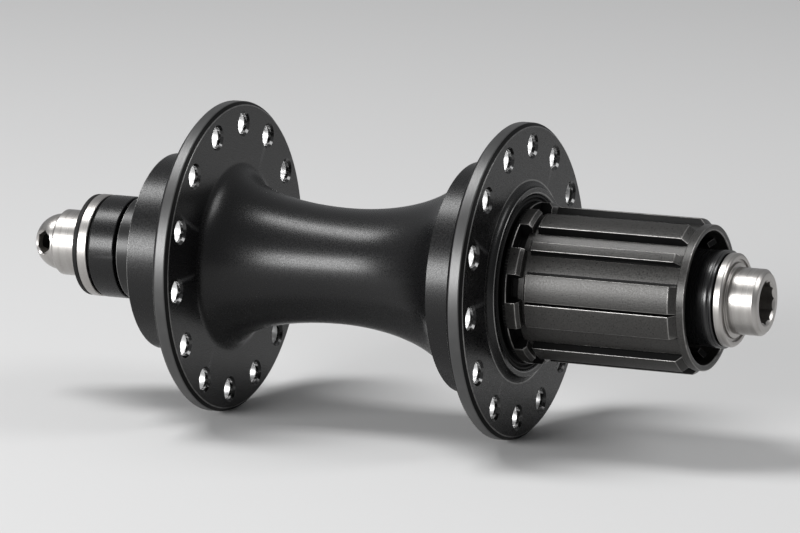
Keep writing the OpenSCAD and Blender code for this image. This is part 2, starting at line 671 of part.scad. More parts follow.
axle();
left_sleeve();
left_washer();
lock_ring();
left_o_ring();
left_spacer();
dust_shield();
center_spacer();
mid_spacer();
freehub_spacer();
dust_cap();
cap_o_ring();
right_end_cap();
inner_race(shell_brg_r, shell_ball_d, shell_brg_w, left_brg_t);  // left_bearing_inner
inner_race(shell_brg_r, shell_ball_d, shell_brg_w, right_brg_t);  // right_bearing_inner
inner_race(free_brg_r, free_ball_d, free_brg_w, in_brg_t);  // inboard_bearing_inner
inner_race(free_brg_r, free_ball_d, free_brg_w, out_brg_t);  // outboard_bearing_inner
hub_shell();
ratchet_ring();
left_seal();
right_seal();
outer_race(shell_brg_r, shell_ball_d, shell_brg_w, left_brg_t);  // left_bearing_outer
shields(shell_brg_r, shell_ball_d, shell_brg_w, left_brg_t);  // left_bearing_shields
outer_race(shell_brg_r, shell_ball_d, shell_brg_w, right_brg_t);  // right_bearing_outer
shields(shell_brg_r, shell_ball_d, shell_brg_w, right_brg_t);  // right_bearing_shields
freehub_body();
outer_race(free_brg_r, free_ball_d, free_brg_w, in_brg_t);  // inboard_bearing_outer
shields(free_brg_r, free_ball_d, free_brg_w, in_brg_t);  // inboard_bearing_shields
outer_race(free_brg_r, free_ball_d, free_brg_w, out_brg_t);  // outboard_bearing_outer
shields(free_brg_r, free_ball_d, free_brg_w, out_brg_t);  // outboard_bearing_shields
retaining_clip();
cage(shell_brg_r, shell_ball_d, shell_ball_n, shell_brg_w, left_brg_t);  // left_bearing_cage
balls(shell_brg_r, shell_ball_d, shell_ball_n, shell_brg_w, left_brg_t);  // left_bearing_balls
cage(shell_brg_r, shell_ball_d, shell_ball_n, shell_brg_w, right_brg_t);  // right_bearing_cage
balls(shell_brg_r, shell_ball_d, shell_ball_n, shell_brg_w, right_brg_t);  // right_bearing_balls
cage(free_brg_r, free_ball_d, free_ball_n, free_brg_w, in_brg_t);  // inboard_bearing_cage
balls(free_brg_r, free_ball_d, free_ball_n, free_brg_w, in_brg_t);  // inboard_bearing_balls
cage(free_brg_r, free_ball_d, free_ball_n, free_brg_w, out_brg_t);  // outboard_bearing_cage
balls(free_brg_r, free_ball_d, free_ball_n, free_brg_w, out_brg_t);  // outboard_bearing_balls
pawl(PAWL_ANGLE);  // pawl_1
pawl(PAWL_ANGLE + 120);  // pawl_2
pawl(PAWL_ANGLE + 240);  // pawl_3
pawl_spring(PAWL_ANGLE);  // pawl_spring_1
pawl_spring(PAWL_ANGLE + 120);  // pawl_spring_2
pawl_spring(PAWL_ANGLE + 240);  // pawl_spring_3
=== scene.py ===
import bmesh
import bpy
import math
from mathutils import Matrix, Vector


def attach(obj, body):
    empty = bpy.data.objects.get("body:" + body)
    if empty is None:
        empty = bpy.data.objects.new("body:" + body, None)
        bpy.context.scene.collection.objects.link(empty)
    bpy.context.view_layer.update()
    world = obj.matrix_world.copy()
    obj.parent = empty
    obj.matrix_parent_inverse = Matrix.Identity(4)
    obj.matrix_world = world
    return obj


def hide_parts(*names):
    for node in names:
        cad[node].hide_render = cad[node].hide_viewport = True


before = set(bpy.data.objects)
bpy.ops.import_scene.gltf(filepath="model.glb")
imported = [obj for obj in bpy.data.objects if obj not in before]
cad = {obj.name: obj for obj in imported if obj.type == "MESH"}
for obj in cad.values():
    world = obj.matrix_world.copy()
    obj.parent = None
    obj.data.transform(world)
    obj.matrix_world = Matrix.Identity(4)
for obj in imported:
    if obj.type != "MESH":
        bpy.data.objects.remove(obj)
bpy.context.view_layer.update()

# Studio: the hub lies on its flanges under a broad light low on the left, a narrow one
# above and a weak one high on the right. A long lens looks at the drive side from twelve
# degrees above the axle.
view_right = Vector((0.41287, -0.91075, -0.00782)).normalized()
view_ahead = Vector((0.89004, 0.40519, -0.20893)).normalized()
view_up = view_right.cross(view_ahead)
hub_middle = Vector((0, 0.00747, 0))
aim_right = 0.0052
aim_up = 0.00052
camera_distance = 1.1163
lens = bpy.data.cameras.new("camera")
lens.sensor_width = 36
lens.lens = 238.4
lens.clip_start = 0.05
lens.clip_end = 20
camera = bpy.data.objects.new("camera", lens)
eye = hub_middle + aim_right * view_right + aim_up * view_up - camera_distance * view_ahead
camera.matrix_world = Matrix.Translation(eye) @ Matrix(
    (view_right, view_up, -view_ahead)).transposed().to_4x4()
bpy.context.scene.collection.objects.link(camera)
bpy.context.scene.camera = camera
bpy.context.scene.view_settings.view_transform = "Standard"


def softbox(name, power, place, towards, size):
    """A rectangular area lamp at place that shines along the direction towards."""
    data = bpy.data.lights.new(name, "AREA")
    data.energy = power
    data.shape = "RECTANGLE"
    data.size, data.size_y = size
    lamp_object = bpy.data.objects.new(name, data)
    turn = Vector(towards).to_track_quat("-Z", "Y").to_matrix().to_4x4()
    lamp_object.matrix_world = Matrix.Translation(Vector(place)) @ turn
    bpy.context.scene.collection.objects.link(lamp_object)


softbox("low_softbox", 17.0, place=(-1.06, 0.49, 0.29), towards=(0.88, -0.405, -0.24),
        size=(0.8, 0.40))
softbox("high_softbox", 11.0, place=(-0.10, 0.49, 1.09), towards=(0.083, -0.405, -0.911),
        size=(0.34, 0.8))
softbox("end_softbox", 3.0, place=(0.17, -0.80, 0.72), towards=(-0.17, 0.80, -0.72),
        size=(0.45, 0.35))


def math_node(tree, operation, a, b=None):
    """Adds a Math node to the tree and returns its output. a and b are sockets or numbers."""
    node = tree.nodes.new("ShaderNodeMath")
    node.operation = operation
    for number, value in enumerate((a, b)):
        if isinstance(value, (int, float)):
            node.inputs[number].default_value = value
        elif value is not None:
            tree.links.new(value, node.inputs[number])
    return node.outputs[0]


# The camera sees the backdrop at full strength, and mirror-like surfaces see it dimmer. On
# the hub's own colours the room adds only a faint light to the three lamps.
backdrop_colour = (0.97, 0.98, 1.0, 1)
backdrop_strength = 1.0
room_strength = 0.15
mirrored_share = 0.22
world = bpy.data.worlds.new("studio")
bpy.context.scene.world = world
world.use_nodes = True
room = world.node_tree
rays = room.nodes.new("ShaderNodeLightPath")
mirrored = math_node(room, "MULTIPLY", rays.outputs["Is Glossy Ray"], mirrored_share)
seen = math_node(room, "MAXIMUM", rays.outputs["Is Camera Ray"], mirrored)
seen_too = math_node(room, "MAXIMUM", seen, rays.outputs["Is Transmission Ray"])
brightness = room.nodes.new("ShaderNodeMapRange")
brightness.inputs["To Min"].default_value = room_strength
brightness.inputs["To Max"].default_value = backdrop_strength
room.links.new(seen_too, brightness.inputs["Value"])
backdrop = room.nodes["Background"]
backdrop.inputs["Color"].default_value = backdrop_colour
room.links.new(brightness.outputs[0], backdrop.inputs["Strength"])

# Table top: a wide sheet of plain matt paint just under the flanges. It belongs to the
# studio, catches the hub's shadow and isn't part of the hub.
table_z = -0.03325
table_half = 6
table_grey = 0.60
table_mesh = bmesh.new()
bmesh.ops.create_grid(table_mesh, x_segments=1, y_segments=1, size=table_half)
bmesh.ops.translate(table_mesh, verts=table_mesh.verts, vec=(0, 0, table_z))
table_data = bpy.data.meshes.new("table_top")
table_mesh.to_mesh(table_data)
table_mesh.free()
table_top = bpy.data.objects.new("table_top", table_data)
bpy.context.scene.collection.objects.link(table_top)
table_paint = bpy.data.materials.new("table_paint")
table_paint.use_nodes = True
paint = table_paint.node_tree.nodes["Principled BSDF"]
paint.inputs["Base Color"].default_value = (table_grey, table_grey, table_grey, 1)
paint.inputs["Roughness"].default_value = 0.9
table_data.materials.append(table_paint)

# Hollow axle: one bar of aluminium, turned, bored and polished at its round nose. The
# hexagonal hole is milled from the side of the nose into the skewer's bore. The bearings
# and spacers sit on its long plain middle, out of sight.


def turn_outline(mesh, outline, corner, centre=(0, 0, 0), steps=128):
    """Spins a closed outline of (t, radius) in millimetres about a line along Y through
    centre. Corners that turn more than sharp_turn degrees are rounded first."""
    sharp_turn = 24
    merge_within = 1e-7
    centre = Vector(centre)
    points = [mesh.verts.new(centre + Vector((0, -t / 1000, r / 1000))) for t, r in outline]
    closed = outline[0][1] > 0
    pairs = list(zip(points, points[1:] + points[:1])) if closed else list(zip(points, points[1:]))
    for pair in pairs:
        mesh.edges.new(pair)
    sharp = []
    for point in points:
        if len(point.link_edges) == 2:
            a, b = [edge.other_vert(point).co - point.co for edge in point.link_edges]
            if math.degrees(a.angle(-b)) > sharp_turn:
                sharp.append(point)
    if corner > 0 and sharp:
        bmesh.ops.bevel(mesh, geom=sharp, offset=corner / 1000, offset_type="OFFSET", segments=3,
                        profile=0.5, affect="VERTICES", clamp_overlap=True, material=-1)
    wire = [edge for edge in mesh.edges if not edge.link_faces]
    verts = list(dict.fromkeys(vert for edge in wire for vert in edge.verts))
    bmesh.ops.spin(mesh, geom=verts + wire, cent=centre, axis=(0, 1, 0), angle=math.tau,
                   steps=steps, use_merge=True)
    bmesh.ops.remove_doubles(mesh, verts=mesh.verts, dist=merge_within)
    bmesh.ops.recalc_face_normals(mesh, faces=mesh.faces)


def shade_smooth(mesh, crease=32):
    """Smooth shading, except across edges that turn more than crease degrees."""
    for face in mesh.faces:
        face.smooth = True
    for edge in mesh.edges:
        if len(edge.link_faces) == 2:
            edge.smooth = edge.calc_face_angle(0) < math.radians(crease)


def finish_piece(mesh, name, body, material, replaced=()):
    """Makes the mesh an object that rides on a CAD body, smooth except at its hard edges."""
    data = bpy.data.meshes.new(name)
    shade_smooth(mesh)
    mesh.to_mesh(data)
    mesh.free()
    piece = bpy.data.objects.new(name, data)
    bpy.context.scene.collection.objects.link(piece)
    data.materials.append(material)
    if replaced:
        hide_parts(*replaced)
    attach(piece, body)
    return piece


def cut_away(piece, tool_mesh):
    """Cuts the tool's shape out of a piece and leaves hard edges where it cut."""
    tool_data = bpy.data.meshes.new("tool")
    tool_mesh.to_mesh(tool_data)
    tool_mesh.free()
    tool = bpy.data.objects.new("tool", tool_data)
    bpy.context.scene.collection.objects.link(tool)
    cut = piece.modifiers.new("cut", "BOOLEAN")
    cut.operation = "DIFFERENCE"
    cut.solver = "EXACT"
    cut.object = tool
    bpy.context.view_layer.update()
    ready = piece.evaluated_get(bpy.context.evaluated_depsgraph_get())
    result = bpy.data.meshes.new_from_object(ready)
    piece.modifiers.remove(cut)
    piece.data = result
    bpy.data.objects.remove(tool)
    mesh = bmesh.new()
    mesh.from_mesh(result)
    shade_smooth(mesh)
    mesh.to_mesh(result)
    mesh.free()


def even_shading(piece):
    """Keeps flat faces flat beside their rounded corners."""
    weigh = piece.modifiers.new("even_shading", "WEIGHTED_NORMAL")
    weigh.keep_sharp = True
    weigh.weight = 100


def new_group(name, inputs, outputs):
    """A shader node group with the given (label, default) inputs and output labels. Returns
    the group and its input and output nodes."""
    group = bpy.data.node_groups.new(name, "ShaderNodeTree")
    for label, default in inputs:
        socket = group.interface.new_socket(label, in_out="INPUT", socket_type="NodeSocketFloat")
        socket.default_value = default
    for label in outputs:
        group.interface.new_socket(label, in_out="OUTPUT", socket_type="NodeSocketFloat")
    return group, group.nodes.new("NodeGroupInput"), group.nodes.new("NodeGroupOutput")


def build_turning_marks():
    """The fine rings that a lathe tool leaves round the axle: bands that change with the
    radius and with the place along the axle, but never round the piece."""
    group, inside, outside = new_group(
        "turning_marks", [("Rings per mm", 6.0), ("Softness", 0.5)], ["Fine", "Broad"])
    nodes, links = group.nodes, group.links
    where = nodes.new("ShaderNodeTexCoord").outputs["Object"]
    parts = nodes.new("ShaderNodeSeparateXYZ")
    links.new(where, parts.inputs[0])
    across = math_node(group, "MULTIPLY", parts.outputs["X"], parts.outputs["X"])
    upward = math_node(group, "MULTIPLY", parts.outputs["Z"], parts.outputs["Z"])
    radius = math_node(group, "SQRT", math_node(group, "ADD", across, upward))
    ring = nodes.new("ShaderNodeCombineXYZ")
    links.new(radius, ring.inputs["X"])
    links.new(parts.outputs["Y"], ring.inputs["Y"])
    per_metre = math_node(group, "MULTIPLY", inside.outputs["Rings per mm"], 1000.0)
    for label, share, detail in (("Fine", 1.0, 3.0), ("Broad", 0.12, 1.0)):
        noise = nodes.new("ShaderNodeTexNoise")
        noise.noise_dimensions = "2D"
        noise.inputs["Detail"].default_value = detail
        links.new(math_node(group, "MULTIPLY", per_metre, share), noise.inputs["Scale"])
        links.new(inside.outputs["Softness"], noise.inputs["Roughness"])
        links.new(ring.outputs[0], noise.inputs["Vector"])
        links.new(noise.outputs["Fac"], outside.inputs[label])
    return group


def build_fine_grain():
    """The even microscopic grain of a blasted, pressed or moulded surface, with a slower
    cloudiness over it."""
    group, inside, outside = new_group(
        "fine_grain", [("Grains per mm", 8.0), ("Clouds per mm", 0.15)], ["Grain", "Cloud"])
    nodes, links = group.nodes, group.links
    where = nodes.new("ShaderNodeTexCoord").outputs["Object"]
    for label, source, detail in (("Grain", "Grains per mm", 2.0), ("Cloud", "Clouds per mm", 4.0)):
        noise = nodes.new("ShaderNodeTexNoise")
        noise.inputs["Detail"].default_value = detail
        per_metre = math_node(group, "MULTIPLY", inside.outputs[source], 1000.0)
        links.new(per_metre, noise.inputs["Scale"])
        links.new(where, noise.inputs["Vector"])
        links.new(noise.outputs["Fac"], outside.inputs[label])
    return group


def build_wear_sheen_and_shade():
    """Two masks from the shape: Edge is white on outward edges, broken up by noise, for slight
    rubbed wear and a painted highlight. The corner mask is white in inward corners, for painted shade."""
    edge_start, edge_gain = 0.53, 14.0
    corner_shade_start, corner_shade_gain = 0.48, 16.0
    chips_per_metre = 900.0
    group, inside, outside = new_group("wear_sheen_and_shade", [("Amount", 0.5)], ["Edge", "Painted shade"])
    nodes, links = group.nodes, group.links
    pointed = nodes.new("ShaderNodeNewGeometry").outputs["Pointiness"]
    above = math_node(group, "SUBTRACT", pointed, edge_start)
    strong = math_node(group, "MULTIPLY", above, edge_gain)
    chips = nodes.new("ShaderNodeTexNoise")
    chips.inputs["Scale"].default_value = chips_per_metre
    chips.inputs["Detail"].default_value = 3.0
    links.new(nodes.new("ShaderNodeTexCoord").outputs["Object"], chips.inputs["Vector"])
    broken = math_node(group, "MULTIPLY", strong, chips.outputs["Fac"])
    worn = math_node(group, "MULTIPLY", broken, inside.outputs["Amount"])
    below = math_node(group, "SUBTRACT", corner_shade_start, pointed)
    deep = math_node(group, "MULTIPLY", below, corner_shade_gain)
    for label, value in (("Edge", worn), ("Painted shade", deep)):
        clamp = nodes.new("ShaderNodeClamp")
        links.new(value, clamp.inputs["Value"])
        links.new(clamp.outputs[0], outside.inputs[label])
    return group


turning_marks = build_turning_marks()
fine_grain = build_fine_grain()
wear_sheen_and_shade = build_wear_sheen_and_shade()


def surface(name, group, output, values, colours, roughness, metallic=0.0, bump=0.0, wear_highlight_shade=None,
            cloud=None, level=0.5, coat=0.0):
    """A Principled material. One output of an effect group drives roughness and relief, and
    cloud, or else the same output, drives the colour. colours and roughness are (low, high)
    pairs, bump is in millimetres, level is the specular level, and the edge argument gives how far
    the edges are lightened, for slight wear and a painted highlight, and the colour shown there;
    with it, inward corners also get painted shade."""
    # Colour of the painted shade in inward corners.
    painted_corner_shade = (0.003, 0.003, 0.003, 1)
    coat_roughness = 0.08
    pattern_low, pattern_high = 0.3, 0.7
    material = bpy.data.materials.new(name)
    material.use_nodes = True
    nodes, links = material.node_tree.nodes, material.node_tree.links
    base = nodes["Principled BSDF"]
    base.inputs["Metallic"].default_value = metallic
    base.inputs["Specular IOR Level"].default_value = level
    if coat:
        base.inputs["Coat Weight"].default_value = coat
        base.inputs["Coat Roughness"].default_value = coat_roughness
    effect = nodes.new("ShaderNodeGroup")
    effect.node_tree = group
    for label, value in values.items():
        effect.inputs[label].default_value = value
    tint = nodes.new("ShaderNodeMix")
    tint.data_type = "RGBA"
    tint.inputs["A"].default_value = (*colours[0], 1)
    tint.inputs["B"].default_value = (*colours[1], 1)
    links.new(effect.outputs[cloud or output], tint.inputs["Factor"])
    colour = tint.outputs["Result"]
    if wear_highlight_shade:
        edge_sheen, sheen_colour = wear_highlight_shade
        mask = nodes.new("ShaderNodeGroup")
        mask.node_tree = wear_sheen_and_shade
        mask.inputs["Amount"].default_value = edge_sheen
        # Outward edges turn lighter, slight wear and a painted highlight; inward corners get painted
        # shade.
        for place, shown in (("Edge", (*sheen_colour, 1)), ("Painted shade", painted_corner_shade)):
            layer = nodes.new("ShaderNodeMix")
            layer.data_type = "RGBA"
            layer.inputs["B"].default_value = shown
            links.new(mask.outputs[place], layer.inputs["Factor"])
            links.new(colour, layer.inputs["A"])
            colour = layer.outputs["Result"]
    links.new(colour, base.inputs["Base Color"])
    spread = nodes.new("ShaderNodeMapRange")
    spread.inputs["From Min"].default_value = pattern_low
    spread.inputs["From Max"].default_value = pattern_high
    spread.inputs["To Min"].default_value = roughness[0]
    spread.inputs["To Max"].default_value = roughness[1]
    links.new(effect.outputs[output], spread.inputs["Value"])
    links.new(spread.outputs[0], base.inputs["Roughness"])
    if bump:
        relief = nodes.new("ShaderNodeBump")
        relief.inputs["Strength"].default_value = 1.0
        relief.inputs["Distance"].default_value = bump / 1000
        links.new(effect.outputs[output], relief.inputs["Height"])
        links.new(relief.outputs[0], base.inputs["Normal"])
    return material


turned_silver = surface("turned_silver", turning_marks, "Fine", {"Rings per mm": 7.0},
                        ((0.35, 0.335, 0.32), (0.48, 0.465, 0.45)), (0.27, 0.36), metallic=1.0,
                        bump=0.0009, cloud="Broad")
nose_r = 6.1
nose_t = -81.6
skewer_r = 2.6
dome_steps = 20
dome_start = math.asin(skewer_r / nose_r)
dome_angles = [dome_start + (math.pi / 2 - dome_start) * i / dome_steps for i in range(dome_steps + 1)]
dome = [(nose_t - nose_r * math.cos(a), nose_r * math.sin(a)) for a in dome_angles]
axle_r = 7.5
step_t = -62
axle_end_t = 72.2
wide_bore_r = 5.0
wide_bore_t = -70
axle_mesh = bmesh.new()
turn_outline(axle_mesh, dome + [(step_t, nose_r), (step_t, axle_r), (axle_end_t, axle_r),
                                (axle_end_t, wide_bore_r), (wide_bore_t, wide_bore_r),
                                (wide_bore_t, skewer_r)], corner=0.25)
axle = finish_piece(axle_mesh, "hollow_axle", "axle_group", turned_silver, ["axle"])

key_angle = math.radians(173)
key_tilt = math.radians(29)
key_flats = 4.4
key_corner = key_flats / 2 / math.cos(math.pi / 6)
key_way = Vector((math.cos(key_tilt) * math.cos(key_angle), math.sin(key_tilt),
                  math.cos(key_tilt) * math.sin(key_angle)))
key_turn = key_way.to_track_quat("Z", "Y").to_matrix().to_4x4()
key_place = Matrix.Translation((0, -nose_t / 1000, 0)) @ key_turn


def cut_key_hole(segments, inner_r, outer_r, length, middle):
    """Cuts a tapered hole along the key's way. middle is its distance from the nose's
    centre, and all lengths are in millimetres."""
    tool = bmesh.new()
    bmesh.ops.create_cone(tool, cap_ends=True, segments=segments, radius1=inner_r / 1000,
                          radius2=outer_r / 1000, depth=length / 1000,
                          matrix=Matrix.Translation((0, 0, middle / 1000)))
    bmesh.ops.transform(tool, matrix=key_place, verts=tool.verts)
    cut_away(axle, tool)


cut_key_hole(segments=6, inner_r=key_corner, outer_r=key_corner, length=8.0, middle=4.4)
cut_key_hole(segments=48, inner_r=key_corner - 0.1, outer_r=key_corner + 1.4, length=1.5, middle=5.87)
even_shading(axle)

# Painted shade in the bore: a thin dark disc just inside the nose's mouth keeps the key hole
# dark; without it the pale table would shine through the skewer's bore.
black_rubber = surface("black_rubber", fine_grain, "Grain", {"Grains per mm": 5.0},
                       ((0.003, 0.003, 0.003), (0.009, 0.009, 0.009)), (0.50, 0.66), bump=0.006,
                       cloud="Cloud", level=0.2)
shade_disc_r = 2.62
shade_disc_mesh = bmesh.new()
turn_outline(shade_disc_mesh, [(-86.3, 0), (-86.3, shade_disc_r), (-86.0, shade_disc_r), (-86.0, 0)], corner=0)
finish_piece(shade_disc_mesh, "nose_shade_disc", "axle_group", black_rubber)

# Left end sleeve: a silver tube pushed over the axle's nose end. Its bare end lies in
# the dropout; the part behind the dropout face is a hair slimmer and carries the rings.
dropout_t = -74
sleeve_bore_r = 6.12
sleeve_end_r = 7.1
sleeve_neck_r = 6.8
sleeve_mesh = bmesh.new()
turn_outline(sleeve_mesh, [(-81.1, sleeve_bore_r), (-81.3, 6.3), (-81.3, 6.6), (-80.8, sleeve_end_r),
                           (dropout_t, sleeve_end_r), (dropout_t, sleeve_neck_r),
                           (step_t, sleeve_neck_r), (step_t, sleeve_bore_r)], corner=0.1)
sleeve = finish_piece(sleeve_mesh, "left_end_sleeve", "axle_group", turned_silver,
                      ["left_sleeve"])
even_shading(sleeve)

# Left washer: a thin dark rubber ring on the sleeve, with rounded rims. The dropout's
# inner face is pressed against it.
washer_mesh = bmesh.new()
turn_outline(washer_mesh, [(dropout_t, 7.15), (dropout_t, 10.9), (-72.92, 10.9), (-72.92, 7.15)],
             corner=0.2)
washer = finish_piece(washer_mesh, "dropout_washer", "axle_group", black_rubber,
                      ["left_washer"])
even_shading(washer)

# Lock ring: a turned silver ring with both rims broken. It is screwed against the black
# spacer and keeps the bearings' play as it was set.
lock_mesh = bmesh.new()
turn_outline(lock_mesh, [(-72.9, 6.82), (-72.9, 11.0), (-70.66, 11.0), (-70.66, 6.82)], corner=0.25)
lock = finish_piece(lock_mesh, "silver_lock_ring", "axle_group", turned_silver,
                    ["lock_ring"])
even_shading(lock)

# Left O-ring: a thin round ring of moulded rubber. It lies in the groove between the lock
# ring and the spacer and keeps dirt out of their joint.
o_ring_t = -70.35
o_ring_r = 10.1
cord_r = 0.3
cord_steps = 16
o_ring_mesh = bmesh.new()
o_ring_outline = [(o_ring_t + cord_r * math.cos(a), o_ring_r + cord_r * math.sin(a))
                  for a in [math.tau * i / cord_steps for i in range(cord_steps)]]
turn_outline(o_ring_mesh, o_ring_outline, corner=0)
finish_piece(o_ring_mesh, "groove_o_ring", "axle_group", black_rubber, ["left_o_ring"])

# Black spacer: turned and anodised, it sets the left bearing's play. Its barrel shows;
# its neck runs on through the dust shield to the bearing.
satin_black = surface("satin_black", fine_grain, "Grain", {"Grains per mm": 3.6, "Clouds per mm": 0.08},
                      ((0.003, 0.003, 0.0032), (0.0055, 0.0055, 0.0058)), (0.21, 0.36), bump=0.007,
                      cloud="Cloud", level=0.33, wear_highlight_shade=(0.4, (0.09, 0.09, 0.092)))
spacer_mesh = bmesh.new()
turn_outline(spacer_mesh, [(-70.65, 6.82), (-70.65, 9.78), (-70.05, 9.78), (-70.05, 11.0),
                           (-64.2, 11.0), (-64.2, 9.0), (-53, 9.0), (-53, 7.52), (step_t, 7.52),
                           (step_t, 6.82)], corner=0.3)
spacer = finish_piece(spacer_mesh, "black_spacer", "axle_group", satin_black,
                      ["left_spacer"])
even_shading(spacer)

# Dust shield: a soft rubber bell clamped on the spacer's neck. Its lip runs just clear
# of the turning bearing housing.
smooth_rubber = surface("smooth_rubber", fine_grain, "Grain", {"Grains per mm": 7.0},
                        ((0.005, 0.005, 0.005), (0.009, 0.009, 0.009)), (0.26, 0.36), bump=0.002,
                        cloud="Cloud", level=0.36)
shield_mesh = bmesh.new()
turn_outline(shield_mesh, [(-63.4, 9.02), (-63.4, 11.1), (-62.2, 11.1), (-61.4, 11.1), (-59.7, 11.14),
                           (-58.4, 11.32), (-57.2, 11.62), (-56.3, 11.9), (-56.0, 11.9), (-56.0, 11.0),
                           (-57.0, 11.0), (-57.0, 9.02)], corner=0.25)
shield = finish_piece(shield_mesh, "dust_shield_bell", "axle_group", smooth_rubber,
                      ["dust_shield"])
# Painted highlight: a light metal colour on small edge faces.
painted_rim_highlight = surface("painted_rim_highlight", fine_grain, "Grain", {"Grains per mm": 7.0, "Clouds per mm": 0.6},
                    ((0.10, 0.10, 0.10), (0.32, 0.316, 0.31)), (0.24, 0.38), metallic=1.0,
                    bump=0.002, cloud="Cloud")


def add_finishes(piece, *finishes):
    """Adds materials to a piece and returns the numbers that its faces know them by."""
    first = len(piece.data.materials)
    for finish in finishes:
        piece.data.materials.append(finish)
    return range(first, first + len(finishes))


def axle_place(point):
    """Where a point lies in millimetres: t along the axle, and its distance from it."""
    return -1000 * point.y, 1000 * math.hypot(point.x, point.z)


# The shield's clamped rim and lip edges get the painted highlight.
(shield_highlight,) = add_finishes(shield, painted_rim_highlight)
for polygon in shield.data.polygons:
    t, radius = axle_place(polygon.center)
    clamped_rim = t < -63.2 and radius > 10.9
    lip_rim = t > -56.3 and radius > 11.7
    if 0.2 < abs(polygon.normal.y) < 0.98 and (clamped_rim or lip_rim):
        polygon.material_index = shield_highlight
even_shading(shield)

# Hub shell: forged and turned from one piece of aluminium, blasted and anodised black.
# A trumpet-shaped tube joins the stepped left bearing housing and the sharp-edged band
# on the right. Both flanges have fourteen countersunk spoke holes; their deeper walls are painted near
# white, a painted light.
flange_r = 33.2
rim_bevel = 0.8
rim_r = flange_r - rim_bevel
left_flange = (-43.7, -40.0)
right_flange = (23.05, 26.8)
flanges = (left_flange, right_flange)
housing_t = -55.7
waist_r = 12.3
waist_t = -14.2


def swell(end_t, height, end_r, steps):
    """Points of the elliptical flare that leaves the waist and reaches end_r at end_t."""
    last = math.acos(1 - (end_r - waist_r) / height)
    reach = (end_t - waist_t) / math.sin(last)
    return [(waist_t + reach * math.sin(last * i / steps),
             waist_r + height * (1 - math.cos(last * i / steps))) for i in range(steps + 1)]


def flange_rim(low, high):
    """The bevelled rim of a flange between two places along the axle."""
    return [(low, rim_r), (low + rim_bevel, flange_r), (high - rim_bevel, flange_r), (high, rim_r)]


bell = swell(end_t=left_flange[1], height=8.0, end_r=20.3, steps=40)
flare = swell(end_t=14.7, height=13.3, end_r=23.9, steps=44)
boss_steps = 8
boss = [(right_flange[1] + 1.4 * (1 - math.cos(a)), 21.4 - 1.6 * math.sin(a))
        for a in [math.pi / 2 * i / boss_steps for i in range(boss_steps + 1)]]
housing = [(housing_t, 14.0), (housing_t, 21.0), (left_flange[0], 21.0)]
band = [(14.7, 24.2), (right_flange[0], 24.2)]
seal_seat = [(28.2, 18.7), (27.8, 18.3), (25.4, 18.3), (25.4, 17.6), (15.6, 17.6)]
right_seat = [(15.6, 14.0), (7.0, 14.0), (7.0, 11.5), (5.0, 9.5)]
left_seat = [(-44.0, 9.5), (-46.0, 11.5), (-46.0, 14.0)]
shell_mesh = bmesh.new()
turn_outline(shell_mesh, housing + flange_rim(*left_flange) + bell[::-1] + flare[1:] + band
             + flange_rim(*right_flange) + boss + seal_seat + right_seat + left_seat,
             corner=0.16, steps=160)
shell = finish_piece(shell_mesh, "hub_shell_body", "shell_group", satin_black,
                     ["hub_shell"])
# Painted light: a near-white metal on the spoke holes' deeper walls.
hole_wall_painted_light = surface("hole_wall_painted_light", fine_grain, "Grain", {"Grains per mm": 6.0, "Clouds per mm": 0.5},
                     ((0.86, 0.86, 0.86), (0.96, 0.96, 0.96)), (0.42, 0.55), metallic=1.0, bump=0.002,
                     cloud="Cloud")
dark_gloss = surface("dark_gloss", fine_grain, "Grain", {"Grains per mm": 8.0},
                     ((0.004, 0.004, 0.004), (0.008, 0.008, 0.008)), (0.10, 0.18), bump=0.0008,
                     cloud="Cloud", level=0.9)
wall_light, glossy_mouth = add_finishes(shell, hole_wall_painted_light, dark_gloss)
holes_per_flange = 14
first_hole = 158.4
spoke_circle_r = 28.4
hole_r = 2.3
hole_bevel = 0.45
hole_depth = 1.15
past_face = 0.8
tool_r = hole_r + hole_bevel + past_face
hole_tool = bmesh.new()
hole_places = []
for low, high in flanges:
    for number in range(holes_per_flange):
        angle = math.radians(first_hole) + number * math.tau / holes_per_flange
        centre = Vector((spoke_circle_r / 1000 * math.cos(angle), 0,
                         spoke_circle_r / 1000 * math.sin(angle)))
        hole_places.append(centre)
        first, last = low - past_face, high + past_face
        turn_outline(hole_tool, [(first, 0), (first, tool_r), (low + hole_bevel, hole_r),
                                 (low + hole_depth, hole_r), (high - hole_depth, hole_r),
                                 (high - hole_bevel, hole_r), (last, tool_r), (last, 0)],
                     corner=0, centre=centre, steps=36)
cut_away(shell, hole_tool)
mouth_reach = (hole_r + hole_bevel) / 1000 + 0.00002
hole_band = 0.0026
wall_verts = set()
for vert in shell.data.vertices:
    across = Vector((vert.co.x, 0, vert.co.z))
    if abs(across.length - spoke_circle_r / 1000) < hole_band:
        if any((across - spot).length < mouth_reach for spot in hole_places):
            wall_verts.add(vert.index)
# The deeper hole walls get the painted light, and the mouths glossy black.
for polygon in shell.data.polygons:
    if abs(polygon.normal.y) < 0.98 and wall_verts.issuperset(polygon.vertices):
        t = axle_place(polygon.center)[0]
        deep = any(low + hole_depth < t < high - hole_depth for low, high in flanges)
        polygon.material_index = wall_light if deep else glossy_mouth
